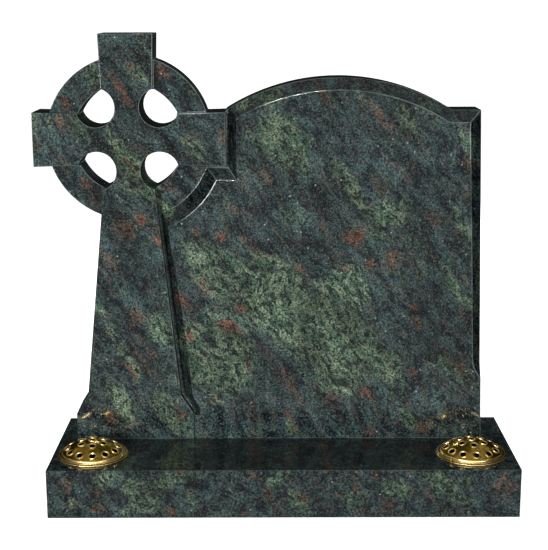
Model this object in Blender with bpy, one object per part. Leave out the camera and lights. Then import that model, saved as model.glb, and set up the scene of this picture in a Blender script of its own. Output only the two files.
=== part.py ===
"""Celtic cross headstone: a ringed cross and an arched tablet carved as one granite slab, standing on a
granite base with two sunk flower containers under domed, pierced lids.

Metres, +Z up. The front faces -Y. The origin is the middle of the base's underside.
"""

import math

import bmesh
import bpy
from mathutils import Vector

# Clearance between pieces that touch
TOUCH_GAP = 0.0003

# Base slab
BASE_WIDTH = 0.914
BASE_DEPTH = 0.305
BASE_HEIGHT = 0.0975

# Headstone slab, its heights counted from the top of the base
SLAB_THICKNESS = 0.090
SLAB_FRONT_MARGIN = 0.1745

# Cross
CROSS_SIDE_MARGIN = 0.1547
CROSS_CENTRE_HEIGHT = 0.615
TOP_REACH = 0.203
LEFT_ARM_REACH = 0.1855
RIGHT_ARM_REACH = 0.1908
ARM_HALF_WIDTH = 0.0485
ARM_END_HALF_WIDTH = 0.0530
SHAFT_TOP_HALF_WIDTH = 0.0456
SHAFT_FOOT_HALF_WIDTH = 0.0950
FOOT_HALF_WIDTH = 0.1195
FOOT_HEIGHT = 0.055
SHOULDER_HEIGHT = 0.0925

# Ring of the cross and its four through holes
RING_OUTER_RADIUS = 0.162
RING_INNER_RADIUS = 0.109
RING_RECESS = 0.020
ARMPIT_RADIUS = 0.038
ARMPIT_OFFSET = 0.0617

# Tablet
TABLET_FOOT_SIDE_MARGIN = 0.0510
TABLET_TOP_SIDE_MARGIN = 0.0695
SHOULDER_LEDGE = 0.0565
LEDGE_HEIGHT = 0.6705
ARCH_RISE = 0.0630

# Chamfer round the tablet's arch, ledge and right side, narrowing down the side to its stop
CHAMFER_WIDTH = 0.0235
CHAMFER_LOW_WIDTH = 0.0170
CHAMFER_DEPTH = 0.018
CHAMFER_STOP_TOP = 0.167
CHAMFER_STOP_LENGTH = 0.038
CHAMFER_STOP_STEPS = 5
CHAMFER_STOP_LEAST_SHARE = 0.01
CHAMFER_OVERRUN = 0.007

# Valley that parts the cross from the tablet's face
VALLEY_FLOOR = 0.005
VALLEY_DEPTH = 0.022
ARM_END_VALLEY_WIDTH = 0.0215
ARM_UNDER_VALLEY_WIDTH = 0.0275
SHAFT_TOP_VALLEY_WIDTH = 0.0155
SHAFT_FOOT_VALLEY_WIDTH = 0.0240
FOOT_VALLEY_WIDTH = 0.0140
FOOT_VALLEY_CORNER_RISE = 0.0110
VALLEY_END_HEIGHT = 0.050
RING_VALLEY_WIDTH = 0.027
GROOVE_WIDTH = 0.003
GROOVE_DEPTH = 0.005

# Flower containers, sunk in the base
CONTAINER_LEFT_MARGIN = 0.0790
CONTAINER_RIGHT_MARGIN = 0.0842
CONTAINER_FRONT_MARGIN = 0.0875
CUP_RADIUS = 0.0560
CUP_DEPTH = 0.080
CUP_WALL = 0.0015
FLANGE_RADIUS = 0.0695
FLANGE_THICKNESS = 0.0024
WELL_CLEARANCE = 0.0010
WELL_FLOOR_CLEARANCE = 0.0020

# Lids
LID_WALL = 0.0015
LID_RIM_RADIUS = 0.0673
LID_RIM_THICKNESS = 0.0022
LID_STEP_RADIUS = 0.0605
LID_STEP_HEIGHT = 0.0050
DOME_RADIUS = 0.0590
DOME_RISE = 0.0225
SKIRT_CLEARANCE = 0.0008
SKIRT_LENGTH = 0.0080
LID_HOLE_RADIUS = 0.0062
INNER_HOLE_RING = 0.0247
INNER_HOLE_COUNT = 6
OUTER_HOLE_RING = 0.0500
OUTER_HOLE_COUNT = 12
HOLE_TURN_LEFT = 7.0
HOLE_TURN_RIGHT = 3.0
NOTCH_WIDTH = 0.010
NOTCH_REACH = 0.0020
NOTCH_ANGLE_LEFT = 0.0
NOTCH_ANGLE_RIGHT = 228.0

# Facets on round forms
RING_FACETS = 96
HOLE_ARC_FACETS = 20
ARCH_FACETS = 28
TURNED_FACETS = 36
LID_HOLE_FACETS = 10
DOME_ROWS = 5

# Corners closer than this are one corner
MERGE_DISTANCE = 0.00003

# A four-cornered side bent by more than this angle, in radians, is split in two
NONPLANAR_LIMIT = 0.0001

# How far a cutting solid runs past what it cuts
OVERRUN = 0.010

SLAB_FRONT_Y = -BASE_DEPTH / 2 + SLAB_FRONT_MARGIN
SLAB_BACK_Y = SLAB_FRONT_Y + SLAB_THICKNESS
SLAB_FOOT_Z = BASE_HEIGHT + TOUCH_GAP
CROSS_AXIS_X = -BASE_WIDTH / 2 + CROSS_SIDE_MARGIN
TABLET_FOOT_RIGHT_X = BASE_WIDTH / 2 - TABLET_FOOT_SIDE_MARGIN
TABLET_TOP_RIGHT_X = BASE_WIDTH / 2 - TABLET_TOP_SIDE_MARGIN
CROSS_CENTRE_Z = BASE_HEIGHT + CROSS_CENTRE_HEIGHT
LEDGE_Z = BASE_HEIGHT + LEDGE_HEIGHT
ARM_UNDERSIDE_Z = CROSS_CENTRE_Z - ARM_HALF_WIDTH
SHOULDER_Z = BASE_HEIGHT + SHOULDER_HEIGHT
FOOT_Z = BASE_HEIGHT + FOOT_HEIGHT
ARM_RIGHT_X = CROSS_AXIS_X + RIGHT_ARM_REACH
INSIDE_CROSS_X = CROSS_AXIS_X - OVERRUN
CONTAINER_Y = -BASE_DEPTH / 2 + CONTAINER_FRONT_MARGIN
CONTAINER_CENTRES = {
    "left": (-BASE_WIDTH / 2 + CONTAINER_LEFT_MARGIN, CONTAINER_Y),
    "right": (BASE_WIDTH / 2 - CONTAINER_RIGHT_MARGIN, CONTAINER_Y),
}


def clear_scene():
    """Remove every object that the file opened with."""
    for item in list(bpy.data.objects):
        bpy.data.objects.remove(item, do_unlink=True)


def principled(name, colour, roughness, metallic=0.0, coat=0.0):
    """A Principled material in one linear colour."""
    material = bpy.data.materials.new(name)
    material.use_nodes = True
    shader = material.node_tree.nodes["Principled BSDF"]
    shader.inputs["Base Color"].default_value = (*colour, 1.0)
    shader.inputs["Roughness"].default_value = roughness
    shader.inputs["Metallic"].default_value = metallic
    shader.inputs["Coat Weight"].default_value = coat
    material.diffuse_color = (*colour, 1.0)
    return material


def object_from(name, mesh_data, material=None):
    """Put a bmesh in the scene as an object, its faces pointing out."""
    bmesh.ops.recalc_face_normals(mesh_data, faces=mesh_data.faces[:])
    mesh = bpy.data.meshes.new(name)
    mesh_data.to_mesh(mesh)
    mesh_data.free()
    item = bpy.data.objects.new(name, mesh)
    bpy.context.scene.collection.objects.link(item)
    if material is not None:
        mesh.materials.append(material)
    return item


def loft(name, loops, material=None):
    """A closed solid through loops with equal counts of points, with flat ends."""
    mesh_data = bmesh.new()
    rows = [[mesh_data.verts.new(point) for point in loop] for loop in loops]
    count = len(rows[0])
    sides = []
    for near, far in zip(rows, rows[1:]):
        for index in range(count):
            following = (index + 1) % count
            sides.append(mesh_data.faces.new((near[index], near[following], far[following], far[index])))
    mesh_data.faces.new(rows[0])
    mesh_data.faces.new(rows[-1])
    bmesh.ops.connect_verts_nonplanar(mesh_data, angle_limit=NONPLANAR_LIMIT, faces=sides)
    return object_from(name, mesh_data, material)


def at_depth(outline, y):
    """An outline of (x, z) points stood up in the plane at y."""
    return [Vector((x, y, z)) for x, z in outline]


def prism(name, outline, front_y, back_y, material=None):
    """An outline of (x, z) points pulled straight back from front_y to back_y."""
    return loft(name, [at_depth(outline, front_y), at_depth(outline, back_y)], material)


def arc(centre, radius, start, end, facets):
    """Points on an arc in degrees, both ends included."""
    points = []
    for step in range(facets + 1):
        angle = math.radians(start + (end - start) * step / facets)
        points.append((centre[0] + radius * math.cos(angle), centre[1] + radius * math.sin(angle)))
    return points


def circle(centre, radius, facets):
    """Points once round a circle."""
    return arc(centre, radius, 0.0, 360.0, facets)[:-1]


def mitres(path):
    """For each point of an open path, the step that moves it one unit to the left of the way it runs."""
    steps = []
    for index in range(len(path)):
        normals = []
        for first in (index - 1, index):
            if 0 <= first < len(path) - 1:
                along = Vector(path[first + 1]) - Vector(path[first])
                along.normalize()
                normals.append(Vector((-along.y, along.x)))
        total = sum(normals, Vector((0.0, 0.0)))
        steps.append(total * (len(normals) / total.dot(total)))
    return steps


def shifted(path, distances):
    """An open path moved sideways to its left, by a distance of its own at each point."""
    moved = []
    for point, step, distance in zip(path, mitres(path), distances):
        moved.append((point[0] + step.x * distance, point[1] + step.y * distance))
    return moved


def hide(cutter):
    """Leave a cutting or joining solid out of the model."""
    cutter.hide_render = True
    cutter.display_type = "WIRE"


def combine(target, other, operation):
    """Add an exact Boolean of other to target, and merge the doubled corners that it leaves."""
    modifier = target.modifiers.new(other.name, "BOOLEAN")
    modifier.operation = operation
    modifier.solver = "EXACT"
    modifier.object = other
    hide(other)
    weld = target.modifiers.new(other.name + "_weld", "WELD")
    weld.merge_threshold = MERGE_DISTANCE


def arch_geometry():
    """Centre and radius of the tablet's arch, and half the angle that it spans."""
    left_x = ARM_RIGHT_X
    right_x = TABLET_TOP_RIGHT_X - SHOULDER_LEDGE
    half_span = (right_x - left_x) / 2
    radius = (half_span ** 2 + ARCH_RISE ** 2) / (2 * ARCH_RISE)
    centre = ((left_x + right_x) / 2, LEDGE_Z + ARCH_RISE - radius)
    half_angle = math.degrees(math.asin(half_span / radius))
    return centre, radius, half_angle


def right_side_x(z):
    """Where the tablet's leaning right side is at height z."""
    share = (z - BASE_HEIGHT) / LEDGE_HEIGHT
    return TABLET_FOOT_RIGHT_X + (TABLET_TOP_RIGHT_X - TABLET_FOOT_RIGHT_X) * share


def tablet_outline():
    """The tablet's outline, its left part lying inside the cross."""
    centre, radius, half_angle = arch_geometry()
    left_x = INSIDE_CROSS_X - OVERRUN
    outline = [(left_x, SLAB_FOOT_Z), (right_side_x(SLAB_FOOT_Z), SLAB_FOOT_Z), (TABLET_TOP_RIGHT_X, LEDGE_Z)]
    outline += arc(centre, radius, 90.0 - half_angle, 90.0 + half_angle, ARCH_FACETS)
    outline += [(ARM_RIGHT_X - OVERRUN, CROSS_CENTRE_Z), (left_x, CROSS_CENTRE_Z)]
    return outline


def chamfer_cutter():
    """The wedge that takes the front corner off the arch, the ledge and the right side."""
    centre, radius, half_angle = arch_geometry()
    overrun_angle = math.degrees(OVERRUN / radius)
    stop_z = BASE_HEIGHT + CHAMFER_STOP_TOP
    path = []
    widths = []
    for step in range(CHAMFER_STOP_STEPS, -1, -1):
        share = step / CHAMFER_STOP_STEPS
        z = stop_z - CHAMFER_STOP_LENGTH * share
        path.append((right_side_x(z), z))
        widths.append(CHAMFER_LOW_WIDTH * max(1.0 - share ** 2, CHAMFER_STOP_LEAST_SHARE))
    path.append((TABLET_TOP_RIGHT_X, LEDGE_Z))
    path += arc(centre, radius, 90.0 - half_angle, 90.0 + half_angle + overrun_angle, ARCH_FACETS + 1)
    widths += [CHAMFER_WIDTH] * (len(path) - len(widths))
    slope = CHAMFER_DEPTH / CHAMFER_WIDTH
    front_y = SLAB_FRONT_Y - CHAMFER_OVERRUN * slope
    inner = shifted(path, [width + CHAMFER_OVERRUN for width in widths])
    outer = shifted(path, [-CHAMFER_OVERRUN] * len(path))
    loops = []
    for width, inside, outside in zip(widths, inner, outer):
        back_y = SLAB_FRONT_Y + (width + CHAMFER_OVERRUN) * slope
        loops.append([
            Vector((inside[0], front_y, inside[1])),
            Vector((outside[0], front_y, outside[1])),
            Vector((outside[0], back_y, outside[1])),
        ])
    return loft("chamfer_cutter", loops)


def half_cross(reach):
    """One side of the cross from foot to top, as distances from its axis and heights."""
    return [
        (FOOT_HALF_WIDTH, SLAB_FOOT_Z),
        (FOOT_HALF_WIDTH, FOOT_Z),
        (SHAFT_FOOT_HALF_WIDTH, SHOULDER_Z),
        (SHAFT_TOP_HALF_WIDTH, ARM_UNDERSIDE_Z),
        (reach, CROSS_CENTRE_Z - ARM_END_HALF_WIDTH),
        (reach, CROSS_CENTRE_Z + ARM_END_HALF_WIDTH),
        (ARM_HALF_WIDTH, CROSS_CENTRE_Z + ARM_HALF_WIDTH),
        (ARM_END_HALF_WIDTH, CROSS_CENTRE_Z + TOP_REACH),
    ]


def cross_outline():
    """The cross without its ring: flaring arms, a tapering shaft and a shouldered foot."""
    right = [(CROSS_AXIS_X + x, z) for x, z in half_cross(RIGHT_ARM_REACH)]
    left = [(CROSS_AXIS_X - x, z) for x, z in reversed(half_cross(LEFT_ARM_REACH))]
    return right + left


def valley_cutter():
    """The valley from the right arm's end, under the arm and down the shaft to the foot's shoulder.

    It has an upright wall along the cross, a narrow floor, and a slope up to the tablet's face.
    """
    top_z = LEDGE_Z + ARCH_RISE
    arm_low_z = CROSS_CENTRE_Z - ARM_END_HALF_WIDTH
    end_z = BASE_HEIGHT + VALLEY_END_HEIGHT
    shaft_top_x = CROSS_AXIS_X + SHAFT_TOP_HALF_WIDTH
    shaft_foot_x = CROSS_AXIS_X + SHAFT_FOOT_HALF_WIDTH
    foot_x = CROSS_AXIS_X + FOOT_HALF_WIDTH
    wall = [
        (ARM_RIGHT_X, top_z),
        (ARM_RIGHT_X, arm_low_z),
        (shaft_top_x, ARM_UNDERSIDE_Z),
        (shaft_foot_x, SHOULDER_Z),
        (foot_x, FOOT_Z),
        (foot_x, end_z),
    ]
    edge = [
        (ARM_RIGHT_X + ARM_END_VALLEY_WIDTH, top_z),
        (ARM_RIGHT_X + ARM_END_VALLEY_WIDTH, arm_low_z - ARM_UNDER_VALLEY_WIDTH),
        (shaft_top_x + SHAFT_TOP_VALLEY_WIDTH, arm_low_z - ARM_UNDER_VALLEY_WIDTH),
        (shaft_foot_x + SHAFT_FOOT_VALLEY_WIDTH, SHOULDER_Z),
        (foot_x + FOOT_VALLEY_WIDTH, FOOT_Z + FOOT_VALLEY_CORNER_RISE),
        (foot_x + FOOT_VALLEY_WIDTH, end_z),
    ]
    inner = [(CROSS_AXIS_X, end_z), (CROSS_AXIS_X, top_z)]
    floor = shifted(wall, [VALLEY_FLOOR] * len(wall))
    stretch = (VALLEY_DEPTH + OVERRUN) / VALLEY_DEPTH
    front = []
    for low, high in zip(floor, edge):
        front.append((low[0] + (high[0] - low[0]) * stretch, low[1] + (high[1] - low[1]) * stretch))
    return loft("valley_cutter", [
        at_depth(front + inner, SLAB_FRONT_Y - OVERRUN),
        at_depth(floor + inner, SLAB_FRONT_Y + VALLEY_DEPTH),
    ])


def ring_valley():
    """The wide valley round the lower right of the ring."""
    centre = (CROSS_AXIS_X, CROSS_CENTRE_Z)
    slope = RING_VALLEY_WIDTH / VALLEY_DEPTH
    front = circle(centre, RING_OUTER_RADIUS + RING_VALLEY_WIDTH + OVERRUN * slope, RING_FACETS)
    floor = circle(centre, RING_OUTER_RADIUS - VALLEY_FLOOR, RING_FACETS)
    return loft("ring_valley_cutter", [
        at_depth(front, SLAB_FRONT_Y - OVERRUN),
        at_depth(floor, SLAB_FRONT_Y + VALLEY_DEPTH + VALLEY_FLOOR / slope),
    ])


def foot_groove():
    """A narrow groove beside the foot, where the cross and the tablet share one face."""
    right_x = CROSS_AXIS_X + FOOT_HALF_WIDTH + GROOVE_WIDTH
    outline = [
        (INSIDE_CROSS_X, SLAB_FOOT_Z - OVERRUN),
        (right_x, SLAB_FOOT_Z - OVERRUN),
        (right_x, BASE_HEIGHT + VALLEY_END_HEIGHT + OVERRUN),
        (INSIDE_CROSS_X, BASE_HEIGHT + VALLEY_END_HEIGHT + OVERRUN),
    ]
    return prism("groove_cutter", outline, SLAB_FRONT_Y - OVERRUN, SLAB_FRONT_Y + GROOVE_DEPTH)


def hole_outline(side, rise):
    """One through hole: the armpit's circle where it lies inside the ring's inner circle."""
    centre = (ARMPIT_OFFSET, ARMPIT_OFFSET)
    distance = math.hypot(*centre)
    reach = (distance ** 2 + RING_INNER_RADIUS ** 2 - ARMPIT_RADIUS ** 2) / (2 * distance)
    ring_half = math.degrees(math.acos(reach / RING_INNER_RADIUS))
    pit_half = math.degrees(math.acos((distance - reach) / ARMPIT_RADIUS))
    outer = arc((0.0, 0.0), RING_INNER_RADIUS, 45.0 - ring_half, 45.0 + ring_half, HOLE_ARC_FACETS // 2)
    start = 45.0 + 180.0 - pit_half
    inner = arc(centre, ARMPIT_RADIUS, start, start + 2 * pit_half, HOLE_ARC_FACETS)
    quarter = outer + inner[1:-1]
    return [(CROSS_AXIS_X + side * x, CROSS_CENTRE_Z + rise * z) for x, z in quarter]


def make_headstone(material):
    """The one slab: tablet, then its cuts, then the cross and ring, then the through holes."""
    headstone = prism("headstone", tablet_outline(), SLAB_FRONT_Y, SLAB_BACK_Y, material)
    for cutter in (chamfer_cutter(), valley_cutter(), ring_valley(), foot_groove()):
        combine(headstone, cutter, "DIFFERENCE")
    cross = prism("cross_solid", cross_outline(), SLAB_FRONT_Y, SLAB_BACK_Y)
    ring = prism(
        "ring_solid",
        circle((CROSS_AXIS_X, CROSS_CENTRE_Z), RING_OUTER_RADIUS, RING_FACETS),
        SLAB_FRONT_Y + RING_RECESS,
        SLAB_BACK_Y,
    )
    combine(cross, ring, "UNION")
    combine(headstone, cross, "UNION")
    for side in (-1, 1):
        for rise in (-1, 1):
            name = "hole_cutter_%d_%d" % (side + 1, rise + 1)
            outline = hole_outline(side, rise)
            cutter = prism(name, outline, SLAB_FRONT_Y - OVERRUN, SLAB_BACK_Y + OVERRUN)
            combine(headstone, cutter, "DIFFERENCE")
    return headstone


def turned(name, profile, centre, material=None):
    """A closed profile of (radius, z) points turned round an upright axis at centre."""
    mesh_data = bmesh.new()
    rows = []
    for radius, z in profile:
        if radius == 0.0:
            rows.append([mesh_data.verts.new((centre[0], centre[1], z))])
            continue
        ring = circle(centre, radius, TURNED_FACETS)
        rows.append([mesh_data.verts.new((x, y, z)) for x, y in ring])
    for near, far in zip(rows, rows[1:] + rows[:1]):
        for index in range(TURNED_FACETS):
            following = (index + 1) % TURNED_FACETS
            if len(near) == 1 and len(far) == 1:
                break
            if len(near) == 1:
                mesh_data.faces.new((near[0], far[index], far[following]))
            elif len(far) == 1:
                mesh_data.faces.new((near[index], near[following], far[0]))
            else:
                mesh_data.faces.new((near[index], near[following], far[following], far[index]))
    return object_from(name, mesh_data, material)


def make_base(material):
    """The base slab with its two blind wells."""
    half = BASE_WIDTH / 2
    outline = [(-half, 0.0), (half, 0.0), (half, BASE_HEIGHT), (-half, BASE_HEIGHT)]
    base = prism("base", outline, -BASE_DEPTH / 2, BASE_DEPTH / 2, material)
    well_radius = CUP_RADIUS + WELL_CLEARANCE
    well_floor = BASE_HEIGHT - CUP_DEPTH - WELL_FLOOR_CLEARANCE
    for label, centre in CONTAINER_CENTRES.items():
        profile = [
            (0.0, well_floor),
            (well_radius, well_floor),
            (well_radius, BASE_HEIGHT + OVERRUN),
            (0.0, BASE_HEIGHT + OVERRUN),
        ]
        well = turned("well_cutter_" + label, profile, centre)
        combine(base, well, "DIFFERENCE")
    return base


def make_container(label, material):
    """A thin cup hung in its well by a flat flange."""
    flange_low = BASE_HEIGHT + TOUCH_GAP
    flange_top = flange_low + FLANGE_THICKNESS
    cup_low = BASE_HEIGHT - CUP_DEPTH
    profile = [
        (0.0, cup_low),
        (CUP_RADIUS, cup_low),
        (CUP_RADIUS, flange_low),
        (FLANGE_RADIUS, flange_low),
        (FLANGE_RADIUS, flange_top),
        (CUP_RADIUS - CUP_WALL, flange_top),
        (CUP_RADIUS - CUP_WALL, cup_low + CUP_WALL),
        (0.0, cup_low + CUP_WALL),
    ]
    return turned("flower_container_" + label, profile, CONTAINER_CENTRES[label], material)


def dome_rows(low_z, foot_radius, rise):
    """Points down a dome's curve, from its crown to its foot."""
    curve = (foot_radius ** 2 + rise ** 2) / (2 * rise)
    half_angle = math.asin(foot_radius / curve)
    rows = []
    for step in range(DOME_ROWS + 1):
        angle = half_angle * step / DOME_ROWS
        rows.append((curve * math.sin(angle), low_z + rise - curve + curve * math.cos(angle)))
    rows[0] = (0.0, low_z + rise)
    return rows


def lid_profile():
    """Half section of a lid: dome, step, rim and the skirt that drops into the cup."""
    rim_low = BASE_HEIGHT + FLANGE_THICKNESS + 2 * TOUCH_GAP
    rim_top = rim_low + LID_RIM_THICKNESS
    step_top = rim_low + LID_STEP_HEIGHT
    skirt_outer = CUP_RADIUS - CUP_WALL - SKIRT_CLEARANCE
    skirt_inner = skirt_outer - LID_WALL
    outer = dome_rows(step_top, DOME_RADIUS, DOME_RISE)
    inner = dome_rows(step_top - LID_WALL, DOME_RADIUS - LID_WALL, DOME_RISE)
    inner_kept = [point for point in inner if point[0] < skirt_inner - LID_WALL]
    rim = [
        (LID_STEP_RADIUS, step_top),
        (LID_STEP_RADIUS, rim_top),
        (LID_RIM_RADIUS, rim_top),
        (LID_RIM_RADIUS, rim_low),
        (skirt_outer, rim_low),
        (skirt_outer, rim_low - SKIRT_LENGTH),
        (skirt_inner, rim_low - SKIRT_LENGTH),
        (skirt_inner, rim_top),
    ]
    return outer + rim + inner_kept[::-1]


def make_lid(label, hole_turn, notch_angle, material):
    """A domed lid with one centre hole, two rings of holes and a finger notch in its rim."""
    centre = CONTAINER_CENTRES[label]
    lid = turned("flower_lid_" + label, lid_profile(), centre, material)
    low_z = BASE_HEIGHT + LID_STEP_HEIGHT
    high_z = low_z + LID_STEP_HEIGHT + DOME_RISE + OVERRUN
    places = [(0.0, 0.0)]
    for count, radius in ((INNER_HOLE_COUNT, INNER_HOLE_RING), (OUTER_HOLE_COUNT, OUTER_HOLE_RING)):
        for step in range(count):
            angle = math.radians(hole_turn - 90.0 + 360.0 * step / count)
            places.append((radius * math.cos(angle), radius * math.sin(angle)))
    holes = bmesh.new()
    for x, y in places:
        ring = circle((centre[0] + x, centre[1] + y), LID_HOLE_RADIUS, LID_HOLE_FACETS)
        low = [holes.verts.new((px, py, low_z)) for px, py in ring]
        high = [holes.verts.new((px, py, high_z)) for px, py in ring]
        holes.faces.new(low[::-1])
        holes.faces.new(high)
        for index in range(LID_HOLE_FACETS):
            following = (index + 1) % LID_HOLE_FACETS
            holes.faces.new((low[index], low[following], high[following], high[index]))
    combine(lid, object_from("lid_holes_" + label, holes), "DIFFERENCE")
    angle = math.radians(notch_angle)
    outward = Vector((math.cos(angle), math.sin(angle)))
    across = Vector((-outward.y, outward.x)) * (NOTCH_WIDTH / 2)
    near = Vector(centre) + outward * (LID_RIM_RADIUS - NOTCH_REACH)
    far = Vector(centre) + outward * (LID_RIM_RADIUS + OVERRUN)
    corners = [near - across, far - across, far + across, near + across]
    loops = [[Vector((c.x, c.y, z)) for c in corners] for z in (BASE_HEIGHT, BASE_HEIGHT + OVERRUN)]
    combine(lid, loft("lid_notch_" + label, loops), "DIFFERENCE")
    return lid


def main():
    clear_scene()
    granite = principled("polished_green_granite", (0.052, 0.080, 0.071), 0.12, 0.0, 0.6)
    gold = principled("gold_anodised_aluminium", (0.72, 0.46, 0.12), 0.18, 1.0)
    aluminium = principled("gold_lacquered_cup", (0.60, 0.42, 0.15), 0.30, 1.0)
    make_base(granite)
    make_headstone(granite)
    for label in CONTAINER_CENTRES:
        make_container(label, aluminium)
    make_lid("left", HOLE_TURN_LEFT, NOTCH_ANGLE_LEFT, gold)
    make_lid("right", HOLE_TURN_RIGHT, NOTCH_ANGLE_RIGHT, gold)


main()
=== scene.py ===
"""Looks of the celtic cross headstone: polished green granite and gilt flower lids, in soft studio light."""

import math

import bmesh
import bpy
from mathutils import Matrix, Vector


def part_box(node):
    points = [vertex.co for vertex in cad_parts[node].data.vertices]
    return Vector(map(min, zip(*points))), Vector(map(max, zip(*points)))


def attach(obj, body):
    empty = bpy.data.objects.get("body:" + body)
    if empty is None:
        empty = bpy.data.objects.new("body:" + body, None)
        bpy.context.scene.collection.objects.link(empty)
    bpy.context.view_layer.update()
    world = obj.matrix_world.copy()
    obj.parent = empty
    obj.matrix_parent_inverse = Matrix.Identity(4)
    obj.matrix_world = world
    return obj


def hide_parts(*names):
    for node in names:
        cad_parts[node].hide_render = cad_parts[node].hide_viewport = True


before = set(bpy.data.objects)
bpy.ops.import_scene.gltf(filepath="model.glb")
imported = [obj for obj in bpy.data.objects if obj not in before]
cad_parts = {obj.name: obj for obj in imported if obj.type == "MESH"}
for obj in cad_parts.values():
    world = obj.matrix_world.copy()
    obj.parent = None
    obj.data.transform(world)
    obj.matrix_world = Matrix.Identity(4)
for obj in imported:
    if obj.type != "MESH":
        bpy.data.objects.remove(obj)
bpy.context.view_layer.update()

# Camera, fitted to the photograph's edges
CAMERA_PLACE = (-0.02065, -2.35210, 0.97623)
CAMERA_PITCH = 0.22127
CAMERA_YAW = 0.00123
CAMERA_ROLL = -0.00199
CAMERA_LENS_MM = 79.862
SENSOR_MM = 36.0

# Places read from the CAD pieces, and the gap between resting pieces, in metres
TOUCH_GAP = 0.0003
BASE_TOP_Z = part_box("base")[1][2]
LID_TOP_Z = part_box("flower_lid_right")[1][2]
LID_RIM_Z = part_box("flower_container_right")[1][2] + TOUCH_GAP

# Lid sizes, as in the CAD: holes are (count, distance of their ring from the axis)
DOME_RADIUS = 0.0590
DOME_FOOT_RISE = 0.0050
INNER_DOME_RADIUS = 0.0505
SHELL_THICKNESS = 0.0015
HOLE_RADIUS = 0.0062
HOLE_RINGS = ((1, 0.0), (6, 0.0247), (12, 0.0500))
NOTCH_RADIUS = 0.0042
NOTCH_REACH = 0.0690

# Turn of each lid's holes and place of its finger notch, in degrees
LID_TURNS = {"left": (7.0, 0.0), "right": (3.0, 228.0)}

# How much of the dome's slope the holes lean by, and the step that the slope is read over
HOLE_LEAN = 0.85
SLOPE_STEP = 0.001

# How finely the turned forms are divided
TURN_FACETS = 96
DOME_ROWS = 14
INNER_ROWS = 10
LIP_FACETS = 28

# Half sections of turned forms: distance from the axis, and height over the lid's rim
RIM_PROFILE = [
    (0.0598, 0.0049), (0.0605, 0.0042), (0.0607, 0.0026), (0.0611, 0.0019), (0.0648, 0.0017),
    (0.0653, 0.0022), (0.0663, 0.0024), (0.0671, 0.0015), (0.0671, 0.0006), (0.0664, 0.0),
    (0.0537, 0.0), (0.0537, -0.008), (0.0522, -0.008), (0.0522, 0.0022),
]
# The same over the base's top
CUP_PROFILE = [
    (0.0, -0.080), (0.0550, -0.080), (0.0560, -0.079), (0.0560, 0.0003), (0.0686, 0.0003),
    (0.0693, 0.0009), (0.0693, 0.0017), (0.0687, 0.0023), (0.0678, 0.0025), (0.0674, 0.0021),
    (0.0670, 0.0025), (0.0660, 0.0027), (0.0553, 0.0027), (0.0545, 0.0021), (0.0545, -0.0785),
    (0.0, -0.0785),
]
# The same over the dome, round a hole's axis, for the lip and the drill, and over the rim for the notch
LIP_PROFILE = [
    (0.0057, -0.0012), (0.0057, 0.0003), (0.0070, 0.0011), (0.0077, 0.0014), (0.0084, 0.0010),
    (0.0088, 0.0), (0.0088, -0.0012),
]
HOLE_PROFILE = [(0.0, -0.0042), (HOLE_RADIUS, -0.0042), (HOLE_RADIUS, 0.006), (0.0, 0.006)]
NOTCH_PROFILE = [(0.0, -0.001), (NOTCH_RADIUS, -0.001), (NOTCH_RADIUS, 0.0045), (0.0, 0.0045)]

# Rows of the lip that are painted bright, partly as gilt worn by rubbing and partly as a painted highlight,
# and distances from the axis between which turned faces are the same
LIP_BRIGHT_ROWS = (1, 2, 3, 4)
LID_RIDGES = ((0.0592, 0.0609), (0.0652, 0.0675))
FLANGE_RIDGES = ((0.0684, 0.0700),)
RIDGE_CLEARANCE = 0.0004

# Edges of stone shorter than this are closed before the corners are taken off
SHORTEST_EDGE = 0.0008

# Faces that meet at less than the first angle are joined; at more than the others they show a corner
FLAT_ANGLE = math.radians(0.3)
STONE_CORNER = math.radians(24.0)
LID_CORNER = math.radians(30.0)
CUP_CORNER = math.radians(50.0)

# Colours of the stone
SLATE_DARK = "#161F26"
SLATE_LIGHT = "#465B5A"
VEIN = "#584E48"
FLECK = "#13201E"
OLIVE_DARK = "#48634F"
OLIVE_LIGHT = "#82957A"
RUST_HALO = "#66584A"
RUST_DARK = "#65463A"
RUST_LIGHT = "#8C5547"
PALE_GRAIN = "#93A69E"
SPECK = "#D0DCD4"
# Painted highlight along the arrises
ARRIS_HIGHLIGHT = "#A0B2AD"

# Colours of the gilt
LID_GILT = "#DDB54E"
LID_WORN = "#84601F"
CUP_GILT = "#CFA650"
CUP_WORN = "#8E6A26"
TARNISH = "#5E4416"
# Bright gilt on lips and ridges: partly worn by rubbing, partly a painted highlight
RUBBED_AND_HIGHLIGHT_GILT = "#F4DA94"

# Painted shade: how bright the stone's sides and its upward chamfers are painted beside its face
SIDE_SHARE = 0.42
ARCH_SHARE = 0.72

# How strongly an arris that faces right takes the painted highlight, beside one that faces up or down
RIGHTWARD_HIGHLIGHT_SHARE = 0.8

# Width of the arrises and the faces across them, and brightness of each stone
HEADSTONE_ARRIS = 0.0014
BASE_ARRIS = 0.0010
ARRIS_SEGMENTS = 2
HEADSTONE_LIGHT = 1.04
BASE_LIGHT = 0.80

# Each stone's shift of the pattern, and the share that draws it out along the streaks
HEADSTONE_SHIFT = (0.0, 0.0, 0.0)
BASE_SHIFT = (3.1, 0.4, 1.7)
HEADSTONE_SQUEEZE = 0.42
BASE_SQUEEZE = 0.75

# Grain of the stone: clouds and streaks run down to the right at this angle
STREAK_ANGLE = math.radians(-54.0)

# The pattern is bent by noise with lumps of 91 mm, and stretched along the streaks by these shares
WARP_SCALE = 11.0
WARP_DETAIL = 3.0
WARP_REACH = 0.055
VEIN_SQUEEZE = 0.15
FLECK_SQUEEZE = 0.72

# How far each noise moves the edges of clouds and patches
WISP_REACH = 0.46
FUZZ_REACH = 0.44
MOTTLE_REACH = 0.80
VEIN_RAGGED = 0.35
CLOUD_RAGGED = 0.80
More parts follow.
